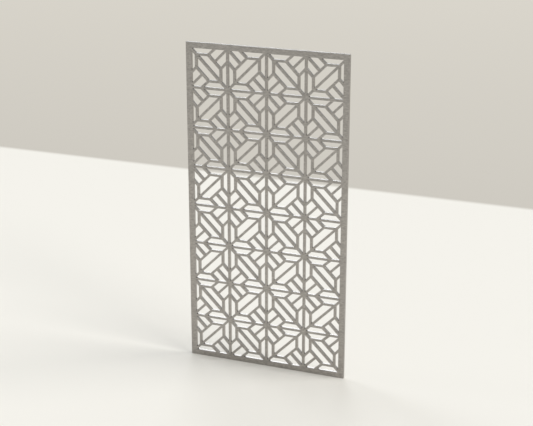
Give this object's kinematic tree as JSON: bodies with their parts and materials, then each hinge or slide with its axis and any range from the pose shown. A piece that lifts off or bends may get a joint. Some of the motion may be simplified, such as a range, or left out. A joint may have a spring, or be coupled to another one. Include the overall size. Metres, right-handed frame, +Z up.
{
  "type": "decorative metal screen",
  "caption": "Flat upright metal plate screen with a plain border and a cut geometric lattice of mirrored square tiles with diagonal bars.",
  "frame": {"origin": "middle of the plate's bottom edge face, halfway through its thickness", "axes": "+Z up along the screen's height, +X along its width, +Y through its thickness towards the back; the front faces -Y"},
  "size_m": [0.9, 0.015, 1.785],
  "materials": {
    "brushed_metal": "brushed lengthwise across the width, satin, cut edges smoother"
  },
  "bodies": {
    "root": {"screen_panel": "brushed_metal"}
  },
  "joints": []
}
